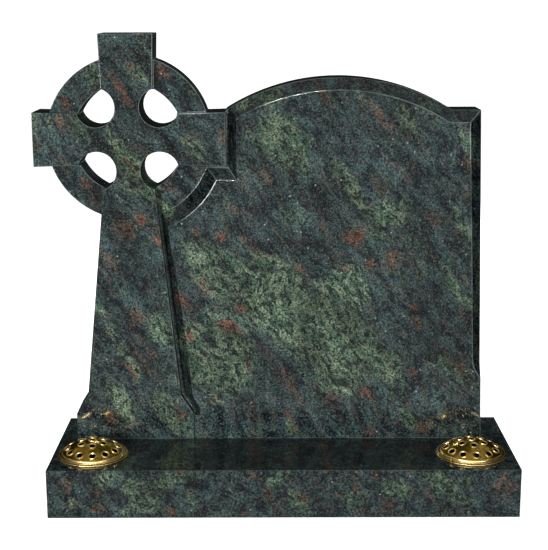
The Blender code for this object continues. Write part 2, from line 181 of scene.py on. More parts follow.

# How far clouds and patches follow noise, how far the listed ones rise over it, and their cover
CLOUD_LOTTERY = 0.55
CLOUD_RISE = 0.29
OLIVE_COVER = 0.90
RUST_LOTTERY = 0.55
RUST_FLOOR = 0.19
RUST_RISE = 0.41
RUST_COVER = 0.85
BLOTS_IN_OLIVE = -0.04
FLECKS_IN_OLIVE = -0.06
BAND_DEPTH = 0.45
DARKEST_BAND = 0.35

# Rare pale specks, each in a cell of about 7 mm
SPECK_SCALE = 140.0
SPECK_COVER = 0.70

# A listed patch fades out from the second to the first of these shares of its half lengths
SPOT_EDGE = 1.45
SPOT_CORE = 0.30

# Polish of the stone and of the gilt
STONE_IOR = 1.52
STONE_ROUGHNESS = 0.05
STONE_ROUGHNESS_REACH = 0.05
FLECK_ROUGHNESS = 0.03
STONE_BUMP = 0.04
STONE_BUMP_HEIGHT = 0.0004
LID_ROUGHNESS = 0.17
CUP_ROUGHNESS = 0.20
TARNISH_COVER = 0.75
TARNISH_ROUGHNESS = 0.10
RUBBED_AND_HIGHLIGHT_ROUGHNESS = 0.14
GILT_BUMP = 0.16
GILT_BUMP_HEIGHT = 0.0010

# Noise patterns: size of the lumps in millimetres, detail and roughness
PATTERNS = {
    "wisps": (8.0, 4.0, 0.7),
    "fuzz": (5.0, 3.0, 0.75),
    "slate": (24.0, 5.0, 0.7),
    "veins": (11.0, 2.0, 0.5),
    "clouds": (50.0, 3.0, 0.55),
    "tint": (14.0, 4.0, 0.65),
    "rust": (22.0, 2.0, 0.5),
    "mottle": (6.5, 2.0, 0.6),
    "blots": (10.0, 2.0, 0.55),
    "flecks": (6.4, 3.0, 0.55),
    "grain": (3.6, 2.0, 0.65),
    "zones": (42.0, 2.0, 0.5),
    "pale grain": (3.0, 1.0, 0.5),
    # Breaks along the painted highlight on the arrises
    "highlight_breaks": (90.0, 2.0, 0.5),
    "sheen": (30.0, 2.0, 0.5),
    "tarnish": (20.0, 3.0, 0.6),
    "blotches": (5.0, 3.0, 0.6),
    "dents": (11.0, 3.0, 0.5),
}
NOISE = {name: {"Scale": 1000.0 / lump_mm, "Detail": detail, "Roughness": roughness}
         for name, (lump_mm, detail, roughness) in PATTERNS.items()}

# Smooth ramps: from, to, value at the first and value at the second
RAMPS = {
    "slate": (0.37, 0.63, 0.0, 1.0),
    "veins": (0.54, 0.66, 0.0, 0.48),
    "olive": (0.53, 0.73, 0.0, 1.0),
    "tint": (0.38, 0.64, 0.0, 1.0),
    "rust halo": (0.50, 0.78, 0.0, 0.55),
    "rust": (0.68, 1.00, 0.0, 1.0),
    "blots": (0.42, 0.35, 0.0, 0.80),
    "flecks": (0.395, 0.350, 0.0, 0.86),
    "grain": (0.36, 0.66, 0.26, 1.82),
    "zones": (0.38, 0.62, 0.76, 1.24),
    "pale grain": (0.60, 0.70, 0.0, 0.34),
    "speck size": (0.30, 0.14, 0.0, 1.0),
    "speck choice": (0.968, 0.990, 0.0, 1.0),
    # Painted shade by the way a face turns: toward the front, and up
    "facing the front": (0.80, 0.90, SIDE_SHARE, 1.0),
    "facing up": (0.40, 0.60, 0.0, ARCH_SHARE - SIDE_SHARE),
    # Breaks along the painted highlight on the arrises, and its share by the way an arris faces
    "highlight_breaks": (0.40, 0.60, 0.35, 1.0),
    "arris": (0.0, 0.5, 0.10, 0.55),
    "tarnish": (0.40, 0.62, 0.0, 1.0),
    "blotches": (0.45, 0.70, 0.0, 0.35),
    "studio front": (0.55, 1.0, 0.012, 0.30),
}

# Settings that many nodes share
SMOOTH = {"interpolation_type": "SMOOTHSTEP"}
COLOURS = {"data_type": "RGBA"}

# Where the lights aim, and where the surroundings are brightest
FACE_MIDDLE = (0.0, 0.0, 0.45)
FACE_FOOT = (0.0, -0.05, 0.3)
BACK_MIDDLE = (0.0, 0.1, 0.45)
BRIGHT_SIDE = (0.0, -1.0, -0.12)

# Area lights: name, place, aim, width and height, watts, and the kinds of visibility that are off
LIGHTS = [
    # Nearly level light on the face
    ("key_light", (-1.75, -3.0, 0.75), FACE_MIDDLE, (0.8, 0.6), 72.0, ()),
    ("fill_light", (1.8, -3.0, 0.60), FACE_MIDDLE, (0.8, 0.6), 24.0, ()),
    # Light for reflections only: two strips above the camera and a wide dim panel overhead
    ("strip_light", (0.0, -2.9, 2.35), FACE_FOOT, (2.2, 0.30), 7.0, ("visible_diffuse",)),
    ("overhead_light", (0.0, 0.2, 2.60), FACE_FOOT, (5.0, 4.5), 20.0, ("visible_diffuse",)),
    ("spark_light", (-0.3, -2.9, 2.10), FACE_FOOT, (0.8, 0.10), 90.0, ("visible_diffuse",)),
    # Light on the plain back and the sides, from behind the face and kept out of its reflections
    ("back_light", (1.0, 3.2, 1.4), BACK_MIDDLE, (2.0, 1.5), 45.0, ("visible_glossy",)),
    ("right_side_light", (3.0, 2.0, 0.9), BACK_MIDDLE, (2.0, 1.5), 95.0, ("visible_glossy",)),
    ("left_side_light", (-3.0, 2.0, 0.9), BACK_MIDDLE, (2.0, 1.5), 95.0, ("visible_glossy",)),
]

# The floor runs back level, sweeps up and ends as a backdrop
FLOOR_HALF_WIDTH = 8.0
FLOOR_FRONT_Y = -6.0
FLOOR_BACK_Y = 4.0
SWEEP_RADIUS = 1.5
SWEEP_STEPS = 10
BACKDROP_TOP_Z = 6.0
FLOOR_COLOUR = "#F2F2F0"
FLOOR_ROUGHNESS = 0.9
FLOOR_GLOW = 0.93

# Olive clouds on the front: x, z, half length along the streaks, half width across them, strength
OLIVE_CLOUDS = [
    (-0.070, 0.799, 0.026, 0.030, 0.9),
    (-0.020, 0.812, 0.026, 0.034, 0.9),
    (0.000, 0.714, 0.070, 0.040, 0.9),
    (0.141, 0.623, 0.085, 0.017, 0.9),
    (0.208, 0.567, 0.035, 0.026, 0.8),
    (-0.143, 0.458, 0.060, 0.046, 0.8),
    (-0.080, 0.430, 0.070, 0.050, 0.8),
    (-0.020, 0.400, 0.085, 0.060, 0.9),
    (0.040, 0.340, 0.120, 0.085, 1.0),
    (0.115, 0.310, 0.100, 0.060, 1.0),
    (-0.120, 0.290, 0.100, 0.065, 0.9),
    (0.120, 0.390, 0.060, 0.045, 0.8),
    (0.203, 0.259, 0.070, 0.024, 0.9),
    (0.352, 0.543, 0.055, 0.012, 0.9),
    (0.347, 0.416, 0.080, 0.011, 0.9),
    (0.361, 0.705, 0.050, 0.014, 0.7),
    (0.337, 0.253, 0.045, 0.013, 0.6),
    (0.241, 0.756, 0.034, 0.016, 0.5),
    (0.145, 0.430, 0.045, 0.030, 0.8),
    (-0.308, 0.677, 0.075, 0.018, 0.9),
    (-0.277, 0.620, 0.040, 0.022, 0.8),
    (-0.393, 0.735, 0.032, 0.015, 0.7),
    (-0.281, 0.837, 0.034, 0.022, 0.7),
    (-0.374, 0.842, 0.030, 0.020, 0.6),
    (-0.181, 0.798, 0.026, 0.018, 0.6),
    (-0.177, 0.693, 0.034, 0.014, 0.7),
    (-0.243, 0.584, 0.045, 0.015, 0.8),
    (-0.358, 0.380, 0.034, 0.009, 1.0),
    (-0.336, 0.316, 0.046, 0.009, 1.0),
    (-0.312, 0.262, 0.046, 0.010, 0.9),
    (-0.240, 0.331, 0.046, 0.024, 0.8),
    (-0.330, 0.176, 0.055, 0.026, 0.8),
    (-0.240, 0.155, 0.050, 0.022, 0.7),
    (-0.139, 0.255, 0.075, 0.050, 1.0),
    (-0.178, 0.316, 0.030, 0.030, 0.8),
    (0.105, 0.205, 0.040, 0.030, 0.7),
    (-0.146, 0.170, 0.022, 0.020, 0.7),
    (0.015, 0.126, 0.018, 0.014, 0.8),
    (0.260, 0.138, 0.022, 0.014, 0.8),
    (-0.020, 0.255, 0.070, 0.020, -0.7),
    (0.330, 0.330, 0.050, 0.035, -0.4),
    (0.067, 0.395, 0.032, 0.020, -0.6),
    (-0.023, 0.355, 0.022, 0.016, -0.5),
    (0.164, 0.355, 0.022, 0.020, -0.5),
]

# Rust patches on the front, in the same form
RUST_PATCHES = [
    (-0.037, 0.638, 0.019, 0.011, 0.8),
    (-0.095, 0.567, 0.012, 0.010, 0.8),
    (0.078, 0.543, 0.013, 0.013, 0.9),
    (0.141, 0.520, 0.026, 0.022, 1.0),
    (-0.172, 0.520, 0.013, 0.011, 0.9),
    (-0.117, 0.517, 0.014, 0.010, 0.9),
    (-0.065, 0.500, 0.026, 0.010, 0.9),
    (0.030, 0.448, 0.017, 0.013, 0.8),
    (0.121, 0.453, 0.012, 0.010, 0.7),
    (0.174, 0.462, 0.013, 0.013, 0.9),
    (0.222, 0.474, 0.020, 0.029, 0.8),
    (0.290, 0.557, 0.026, 0.013, 0.8),
    (-0.155, 0.418, 0.019, 0.011, 0.9),
    (-0.197, 0.397, 0.025, 0.013, 0.9),
    (-0.090, 0.378, 0.017, 0.013, 1.0),
    (-0.114, 0.330, 0.019, 0.016, 0.8),
    (-0.184, 0.319, 0.020, 0.014, 0.6),
    (0.268, 0.381, 0.010, 0.010, 1.0),
    (0.276, 0.346, 0.019, 0.006, 1.0),
    (0.361, 0.367, 0.019, 0.010, 0.9),
    (0.160, 0.201, 0.020, 0.018, 0.7),
    (0.097, 0.182, 0.017, 0.022, 0.7),
    (-0.071, 0.249, 0.014, 0.010, 0.7),
    (0.010, 0.222, 0.049, 0.009, 1.0),
    (-0.143, 0.172, 0.014, 0.022, 0.6),
    (0.190, 0.765, 0.043, 0.011, 0.7),
    (0.080, 0.795, 0.038, 0.010, 0.6),
    (0.366, 0.676, 0.020, 0.013, 0.7),
    (-0.239, 0.848, 0.016, 0.014, 1.0),
    (-0.426, 0.784, 0.016, 0.013, 1.0),
    (-0.316, 0.803, 0.049, 0.010, 1.0),
    (-0.297, 0.858, 0.012, 0.008, 0.8),
    (-0.433, 0.747, 0.022, 0.011, 0.8),
    (-0.384, 0.630, 0.020, 0.013, 0.9),
    (-0.300, 0.662, 0.043, 0.008, 0.7),
    (-0.283, 0.557, 0.016, 0.010, 1.0),
    (-0.314, 0.534, 0.020, 0.019, 1.0),
    (-0.257, 0.517, 0.013, 0.011, 0.9),
    (-0.123, 0.716, 0.017, 0.013, 0.7),
    (-0.193, 0.708, 0.019, 0.010, 0.7),
    (-0.231, 0.607, 0.012, 0.010, 0.9),
    (-0.345, 0.470, 0.032, 0.010, 0.8),
    (-0.292, 0.360, 0.029, 0.013, 0.9),
    (-0.265, 0.290, 0.036, 0.010, 0.9),
    (-0.284, 0.268, 0.030, 0.006, 0.9),
    (-0.310, 0.246, 0.023, 0.008, 1.0),
    (-0.354, 0.137, 0.017, 0.013, 0.8),
    (-0.204, 0.140, 0.017, 0.013, 0.7),
    (-0.106, 0.329, 0.022, 0.018, 1.0),
    (-0.178, 0.317, 0.016, 0.010, 0.8),
    (0.283, 0.332, 0.008, 0.008, 0.9),
    (0.009, 0.151, 0.020, 0.008, 0.8),
    (0.022, 0.126, 0.010, 0.010, 0.9),
    (-0.059, 0.116, 0.008, 0.009, 0.8),
    (0.186, 0.116, 0.008, 0.009, 0.8),
    (0.280, 0.122, 0.016, 0.013, 1.0),
    (0.360, 0.250, 0.022, 0.010, 0.8),
    (0.337, 0.266, 0.012, 0.010, 0.7),
    (0.264, 0.247, 0.012, 0.012, 0.9),
]

# Darker bands of slate on the front, in the same form
DARK_BANDS = [
    (0.335, 0.330, 0.130, 0.070, 0.75),
    (0.300, 0.470, 0.060, 0.018, 0.60),
    (0.060, 0.600, 0.090, 0.022, 0.50),
    (-0.300, 0.715, 0.170, 0.150, 0.30),
    (-0.352, 0.700, 0.100, 0.013, 0.90),
    (-0.400, 0.735, 0.040, 0.012, 0.80),
    (-0.252, 0.735, 0.080, 0.013, 0.90),
    (-0.215, 0.690, 0.050, 0.009, 0.80),
    (-0.325, 0.850, 0.050, 0.012, 0.80),
    (-0.265, 0.850, 0.040, 0.010, 0.70),
    (-0.330, 0.560, 0.080, 0.014, 0.80),
    (-0.290, 0.460, 0.090, 0.018, 0.80),
    (-0.355, 0.330, 0.090, 0.010, 0.80),
    (-0.275, 0.250, 0.070, 0.014, 0.70),
    (0.090, 0.375, 0.046, 0.026, 0.85),
    (0.132, 0.340, 0.040, 0.020, 0.60),
    (0.045, 0.290, 0.036, 0.018, 0.60),
    (-0.030, 0.430, 0.050, 0.016, 0.60),
    (-0.110, 0.395, 0.036, 0.014, 0.60),
    (0.170, 0.270, 0.036, 0.014, 0.60),
    (-0.075, 0.285, 0.050, 0.016, 0.60),
    (-0.120, 0.215, 0.040, 0.016, 0.50),
]

# Olive clouds and rust patches on the base's front
BASE_OLIVE_CLOUDS = [
    (-0.336, 0.078, 0.020, 0.022, 0.9),
    (-0.278, 0.049, 0.034, 0.022, 1.0),
    (-0.297, 0.015, 0.014, 0.022, 0.8),
    (-0.262, 0.020, 0.016, 0.018, 0.9),
    (-0.226, 0.078, 0.018, 0.028, 1.0),
    (-0.188, 0.092, 0.010, 0.020, 0.7),
    (-0.181, 0.045, 0.022, 0.012, 0.5),
    (-0.413, 0.035, 0.016, 0.016, 0.5),
    (-0.024, 0.068, 0.016, 0.022, 0.6),
    (0.031, 0.039, 0.028, 0.018, 1.0),
    (0.130, 0.039, 0.018, 0.022, 0.8),
    (0.200, 0.059, 0.022, 0.022, 0.6),
    (0.229, 0.059, 0.024, 0.014, 0.7),
    (0.301, 0.078, 0.016, 0.018, 0.8),
    (0.320, 0.049, 0.032, 0.022, 1.0),
    (0.352, 0.074, 0.018, 0.018, 0.8),
    (0.359, 0.030, 0.020, 0.016, 0.8),
]
BASE_RUST_PATCHES = [
    (-0.421, 0.068, 0.012, 0.012, 0.6),
    (-0.358, 0.054, 0.018, 0.006, 1.0),
    (-0.349, 0.016, 0.010, 0.007, 0.9),
    (-0.364, 0.016, 0.009, 0.009, 0.8),
    (-0.224, 0.016, 0.011, 0.012, 1.0),
    (-0.258, 0.051, 0.009, 0.008, 0.6),
    (-0.204, 0.094, 0.007, 0.010, 0.8),
    (-0.185, 0.063, 0.008, 0.007, 0.8),
    (-0.152, 0.094, 0.006, 0.009, 0.7),
    (-0.072, 0.008, 0.008, 0.009, 1.0),
    (-0.062, 0.090, 0.010, 0.009, 0.9),
    (-0.030, 0.049, 0.018, 0.006, 1.0),
    (-0.008, 0.020, 0.010, 0.008, 0.9),
    (0.085, 0.094, 0.007, 0.009, 1.0),
    (0.046, 0.047, 0.014, 0.006, 0.7),
    (0.021, 0.078, 0.012, 0.008, 0.7),
    (0.104, 0.042, 0.008, 0.008, 0.8),
    (0.137, 0.059, 0.007, 0.014, 0.9),
    (0.152, 0.016, 0.009, 0.009, 0.8),
    (0.200, 0.025, 0.006, 0.022, 0.9),
    (0.172, 0.092, 0.008, 0.008, 0.7),
    (0.246, 0.088, 0.008, 0.010, 0.7),
    (0.285, 0.035, 0.016, 0.006, 0.8),
    (0.407, 0.068, 0.012, 0.013, 1.0),
    (0.432, 0.063, 0.012, 0.012, 1.0),
    (0.420, 0.083, 0.009, 0.009, 0.8),
]


def linear(code):
    """A linear RGBA colour from an sRGB hex code."""
    channels = []
    for start in (1, 3, 5):
        value = int(code[start:start + 2], 16) / 255
        channels.append(value / 12.92 if value <= 0.04045 else ((value + 0.055) / 1.055) ** 2.4)
    return (*channels, 1.0)


def node(tree, kind, inputs=(), output=0, **settings):
    """Add a node, set it, fill its inputs with values or other outputs, and give one of its outputs."""
    made = tree.nodes.new("ShaderNode" + kind)
    for name, value in settings.items():
        setattr(made, name, value)
    for key, value in inputs.items() if isinstance(inputs, dict) else enumerate(inputs):
        if isinstance(value, bpy.types.NodeSocket):
            tree.links.new(value, made.inputs[key])
        else:
            made.inputs[key].default_value = value
    return made.outputs[output]


def shader_of(name):
    """A new node material and its tree and Principled shader."""
    material = bpy.data.materials.new(name)
    material.use_nodes = True
    tree = material.node_tree
    return material, tree, tree.nodes["Principled BSDF"]


def spots(tree, field, place, shift, patches, height):
    """A field raised by up to height inside each listed patch, fading out round it."""
    for x, z, length, width, strength in patches:
        middle = Vector((x, 0.0, z)) + Vector(shift)
        middle.rotate(Matrix.Rotation(STREAK_ANGLE, 3, "Y"))
        offset = node(tree, "VectorMath", (place, middle), operation="SUBTRACT")
        scaled = node(tree, "VectorMath", (offset, (1.0 / length, 0.0, 1.0 / width)), operation="MULTIPLY")
        reach = node(tree, "VectorMath", (scaled,), "Value", operation="LENGTH")
        rise = node(tree, "MapRange", (reach, SPOT_EDGE, SPOT_CORE, 0.0, height * strength), **SMOOTH)
        field = node(tree, "Math", (field, rise), operation="ADD")
    return field


def granite(name, shift, squeeze, clouds, patches, bands, light):
    """Polished green granite: slate matrix, olive clouds, rust patches, dark flecks and pale specks."""
    # Sawn and polished to a mirror gloss, so the pattern shows clear, and every corner is a narrow arris with
    # a painted highlight along it. The grain is drawn coarser than real crystals of 1 to 2 mm so that it
    # shows.
    material, tree, shader = shader_of(name)
    place = node(tree, "TexCoord", output="Object")
    place = node(tree, "VectorMath", (place, shift), operation="ADD")
    turned = node(tree, "VectorRotate", {"Vector": place, "Angle": STREAK_ANGLE}, rotation_type="Y_AXIS")
    # Coordinates along the streaks, warped and squeezed so that lumps are drawn out into streaks
    warp = node(tree, "TexNoise", {"Vector": turned, "Scale": WARP_SCALE, "Detail": WARP_DETAIL}, "Color")
    warp = node(tree, "VectorMath", (warp, (0.5, 0.5, 0.5)), operation="SUBTRACT")
    warp = node(tree, "VectorMath", {0: warp, 3: WARP_REACH}, operation="SCALE")
    bent = node(tree, "VectorMath", (turned, warp), operation="ADD")
    streaked = node(tree, "VectorMath", (bent, (squeeze, 1.0, 1.0)), operation="MULTIPLY")
    # Ragged edges for clouds and patches
    wisps = node(tree, "TexNoise", {"Vector": streaked, **NOISE["wisps"]})
    wisps = node(tree, "Math", (wisps, WISP_REACH, -WISP_REACH / 2), operation="MULTIPLY_ADD")
    fuzz = node(tree, "TexNoise", {"Vector": place, **NOISE["fuzz"]})
    fuzz = node(tree, "Math", (fuzz, FUZZ_REACH, -FUZZ_REACH / 2), operation="MULTIPLY_ADD")
    ragged = node(tree, "Math", (wisps, fuzz), operation="ADD")
    # Slate matrix
    slate = node(tree, "TexNoise", {"Vector": streaked, **NOISE["slate"]})
    slate = node(tree, "MapRange", (slate, *RAMPS["slate"]), **SMOOTH)
    colour = node(tree, "Mix", {0: slate, 6: linear(SLATE_DARK), 7: linear(SLATE_LIGHT)}, 2, **COLOURS)
    # Long faint brown veins along the streaks
    vein = node(tree, "VectorMath", (bent, (VEIN_SQUEEZE, 1.0, 1.0)), operation="MULTIPLY")
    vein = node(tree, "TexNoise", {"Vector": vein, **NOISE["veins"]})
    vein = node(tree, "Math", (ragged, VEIN_RAGGED, vein), operation="MULTIPLY_ADD")
    vein = node(tree, "MapRange", (vein, *RAMPS["veins"]), **SMOOTH)
    colour = node(tree, "Mix", {0: vein, 6: colour, 7: linear(VEIN)}, 2, **COLOURS)
    # Olive clouds
    cloud = node(tree, "TexNoise", {"Vector": streaked, **NOISE["clouds"]})
    cloud = node(tree, "Math", (cloud, CLOUD_LOTTERY, 0.5 - CLOUD_LOTTERY / 2), operation="MULTIPLY_ADD")
    cloud = spots(tree, cloud, bent, shift, clouds, CLOUD_RISE)
    cloud = node(tree, "Math", (ragged, CLOUD_RAGGED, cloud), operation="MULTIPLY_ADD")
    olive = node(tree, "MapRange", (cloud, *RAMPS["olive"]), **SMOOTH)
    tint = node(tree, "TexNoise", {"Vector": streaked, **NOISE["tint"]})
    tint = node(tree, "MapRange", (tint, *RAMPS["tint"]), **SMOOTH)
    olive_colour = node(tree, "Mix", {0: tint, 6: linear(OLIVE_DARK), 7: linear(OLIVE_LIGHT)}, 2, **COLOURS)
    cover = node(tree, "Math", (olive, OLIVE_COVER), operation="MULTIPLY")
    colour = node(tree, "Mix", {0: cover, 6: colour, 7: olive_colour}, 2, **COLOURS)
    # Rust patches, each in a brown halo
    patch = node(tree, "TexNoise", {"Vector": streaked, **NOISE["rust"]})
    patch = node(tree, "Math", (patch, RUST_LOTTERY, RUST_FLOOR), operation="MULTIPLY_ADD")
    patch = spots(tree, patch, bent, shift, patches, RUST_RISE)
    mottle = node(tree, "TexNoise", {"Vector": place, **NOISE["mottle"]})
    mottle = node(tree, "Math", (mottle, MOTTLE_REACH, -MOTTLE_REACH / 2), operation="MULTIPLY_ADD")
    mottle = node(tree, "Math", (ragged, mottle), operation="ADD")
    patch = node(tree, "Math", (patch, mottle), operation="ADD")
    halo = node(tree, "MapRange", (patch, *RAMPS["rust halo"]), **SMOOTH)
    colour = node(tree, "Mix", {0: halo, 6: colour, 7: linear(RUST_HALO)}, 2, **COLOURS)
    rust = node(tree, "MapRange", (patch, *RAMPS["rust"]), **SMOOTH)
    rust_colour = node(tree, "Mix", {0: tint, 6: linear(RUST_DARK), 7: linear(RUST_LIGHT)}, 2, **COLOURS)
    cover = node(tree, "Math", (rust, RUST_COVER), operation="MULTIPLY")
    colour = node(tree, "Mix", {0: cover, 6: colour, 7: rust_colour}, 2, **COLOURS)
    # Dark blots, mostly inside the olive
    blot = node(tree, "TexNoise", {"Vector": streaked, **NOISE["blots"]})
    blot = node(tree, "Math", (olive, BLOTS_IN_OLIVE, blot), operation="MULTIPLY_ADD")
    blot = node(tree, "MapRange", (blot, *RAMPS["blots"]), **SMOOTH)
    colour = node(tree, "Mix", {0: blot, 6: colour, 7: linear(SLATE_DARK)}, 2, **COLOURS)
    # Dark elongated flecks, more of them in the olive
    fleck = node(tree, "VectorMath", (bent, (FLECK_SQUEEZE, 1.0, 1.0)), operation="MULTIPLY")
    fleck = node(tree, "TexNoise", {"Vector": fleck, **NOISE["flecks"]})
    fleck = node(tree, "Math", (olive, FLECKS_IN_OLIVE, fleck), operation="MULTIPLY_ADD")
    fleck = node(tree, "MapRange", (fleck, *RAMPS["flecks"]), **SMOOTH)
    colour = node(tree, "Mix", {0: fleck, 6: colour, 7: linear(FLECK)}, 2, **COLOURS)
    # Fine grain, broad lighter and darker zones, and the listed darker bands
    grain = node(tree, "TexNoise", {"Vector": place, **NOISE["grain"]})
    gain = node(tree, "MapRange", (grain, *RAMPS["grain"]), **SMOOTH)
    zone = node(tree, "TexNoise", {"Vector": streaked, **NOISE["zones"]})
    zone = node(tree, "MapRange", (zone, *RAMPS["zones"]), **SMOOTH)
    gain = node(tree, "Math", (gain, zone), operation="MULTIPLY")
    depth = spots(tree, 0.0, bent, shift, bands, BAND_DEPTH)
    depth = node(tree, "Math", (depth, -1.0, 1.0), operation="MULTIPLY_ADD")
    depth = node(tree, "Math", (depth, DARKEST_BAND), operation="MAXIMUM")
    gain = node(tree, "Math", (gain, depth), operation="MULTIPLY")
    colour = node(tree, "VectorMath", {0: colour, 3: gain}, operation="SCALE")
    # Pale grains between the dark ones
    pale = node(tree, "TexNoise", {"Vector": place, **NOISE["pale grain"]})
    pale = node(tree, "MapRange", (pale, *RAMPS["pale grain"]), **SMOOTH)
    colour = node(tree, "Mix", {0: pale, 6: colour, 7: linear(PALE_GRAIN)}, 2, **COLOURS)
    # Rare pale specks
    crystal = node(tree, "TexVoronoi", {"Vector": place, "Scale": SPECK_SCALE}, feature="F1").node.outputs
    choice = node(tree, "SeparateColor", (crystal["Color"],))
    choice = node(tree, "MapRange", (choice, *RAMPS["speck choice"]), **SMOOTH)
    speck = node(tree, "MapRange", (crystal["Distance"], *RAMPS["speck size"]), **SMOOTH)
    speck = node(tree, "Math", (speck, choice), operation="MULTIPLY")
    speck = node(tree, "Math", (speck, SPECK_COVER), operation="MULTIPLY")
    colour = node(tree, "Mix", {0: speck, 6: colour, 7: linear(SPECK)}, 2, **COLOURS)
    # Painted shade: faces turned from the front are painted darker, and those turned up less dark than the
    # sides
    facing = node(tree, "NewGeometry", output="True Normal")
    facing = node(tree, "SeparateXYZ", (facing,)).node.outputs
    fronting = node(tree, "Math", (facing["Y"],), operation="ABSOLUTE")
    fronting = node(tree, "MapRange", (fronting, *RAMPS["facing the front"]), **SMOOTH)
    upward = node(tree, "MapRange", (facing["Z"], *RAMPS["facing up"]), **SMOOTH)
    shade = node(tree, "Math", (fronting, upward), operation="ADD")
    shade = node(tree, "Math", (shade, light), operation="MULTIPLY")
    colour = node(tree, "VectorMath", {0: colour, 3: shade}, operation="SCALE")
    # Painted highlight: the narrow arrises are painted pale, least on edges that face left, and not evenly
    # along their length
    arris = node(tree, "Attribute", output="Fac", attribute_name="bright_edge")
    highlight_breaks = node(tree, "TexNoise", {"Vector": place, **NOISE["highlight_breaks"]})
    highlight_breaks = node(tree, "MapRange", (highlight_breaks, *RAMPS["highlight_breaks"]), **SMOOTH)
    level = node(tree, "Math", (facing["Z"],), operation="ABSOLUTE")
    side = node(tree, "Math", (facing["X"], RIGHTWARD_HIGHLIGHT_SHARE, level), operation="MULTIPLY_ADD")
    side = node(tree, "MapRange", (side, *RAMPS["arris"]), **SMOOTH)
    highlight_breaks = node(tree, "Math", (highlight_breaks, side), operation="MULTIPLY")
    arris = node(tree, "Math", (arris, highlight_breaks), operation="MULTIPLY")
    colour = node(tree, "Mix", {0: arris, 6: colour, 7: linear(ARRIS_HIGHLIGHT)}, 2, **COLOURS)
    tree.links.new(colour, shader.inputs["Base Color"])
    # A mirror polish, a little duller in patches and on the flecks
    rough = node(tree, "TexNoise", {"Vector": place, **NOISE["sheen"]})
    rough = node(tree, "Math", (rough, STONE_ROUGHNESS_REACH, STONE_ROUGHNESS), operation="MULTIPLY_ADD")
    rough = node(tree, "Math", (fleck, FLECK_ROUGHNESS, rough), operation="MULTIPLY_ADD")
    tree.links.new(rough, shader.inputs["Roughness"])
    shader.inputs["IOR"].default_value = STONE_IOR
    bump = node(tree, "Bump", {"Strength": STONE_BUMP, "Distance": STONE_BUMP_HEIGHT, "Height": grain})
    tree.links.new(bump, shader.inputs["Normal"])
    return material


def gilt(name, base_code, worn_code, roughness):
    """Gold anodised aluminium, spun and polished: brown tarnish, small dents, and edges made bright, partly
    as gilt worn by rubbing and partly as a painted highlight.
    """
    material, tree, shader = shader_of(name)
    place = node(tree, "TexCoord", output="Object")
    tarnish = node(tree, "TexNoise", {"Vector": place, **NOISE["tarnish"]})
    tarnish = node(tree, "MapRange", (tarnish, *RAMPS["tarnish"]), **SMOOTH)
    blotch = node(tree, "TexNoise", {"Vector": place, **NOISE["blotches"]})
    blotch = node(tree, "MapRange", (blotch, *RAMPS["blotches"]), **SMOOTH)
    cover = node(tree, "Math", (tarnish, TARNISH_COVER), operation="MULTIPLY")
    colour = node(tree, "Mix", {0: cover, 6: linear(base_code), 7: linear(worn_code)}, 2, **COLOURS)
    colour = node(tree, "Mix", {0: blotch, 6: colour, 7: linear(TARNISH)}, 2, **COLOURS)
    # Lips and ridges are painted bright: partly gilt worn by rubbing, partly a painted highlight
    rubbed_and_highlight = node(tree, "Attribute", output="Fac", attribute_name="bright_edge")
    colour = node(tree, "Mix", {0: rubbed_and_highlight, 6: colour, 7: linear(RUBBED_AND_HIGHLIGHT_GILT)}, 2, **COLOURS)
    tree.links.new(colour, shader.inputs["Base Color"])
    shader.inputs["Metallic"].default_value = 1.0
    rough = node(tree, "Math", (tarnish, TARNISH_ROUGHNESS, roughness), operation="MULTIPLY_ADD")
    rough = node(tree, "Math", (rubbed_and_highlight, RUBBED_AND_HIGHLIGHT_ROUGHNESS, rough), operation="MULTIPLY_ADD")
    tree.links.new(rough, shader.inputs["Roughness"])
    dents = node(tree, "TexNoise", {"Vector": place, **NOISE["dents"]})
    bump = node(tree, "Bump", {"Strength": GILT_BUMP, "Distance": GILT_BUMP_HEIGHT, "Height": dents})
    tree.links.new(bump, shader.inputs["Normal"])
    return material


def piece(name, mesh_data, material, replaced):
    """Make a mesh piece that rides on the body, wears a material and stands for a CAD node."""
    mesh = bpy.data.meshes.new(name)
    mesh_data.to_mesh(mesh)
    mesh_data.free()
    made = bpy.data.objects.new(name, mesh)
    bpy.context.scene.collection.objects.link(made)
    mesh.materials.append(material)
    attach(made, "root")
    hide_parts(replaced)
    return made


def mark_edges(mesh, bright):
    """Store on each face whether it is a bright edge, for the material to read."""
    layer = mesh.attributes.new("bright_edge", "FLOAT", "FACE")
    layer.data.foreach_set("value", [float(flag) for flag in bright])


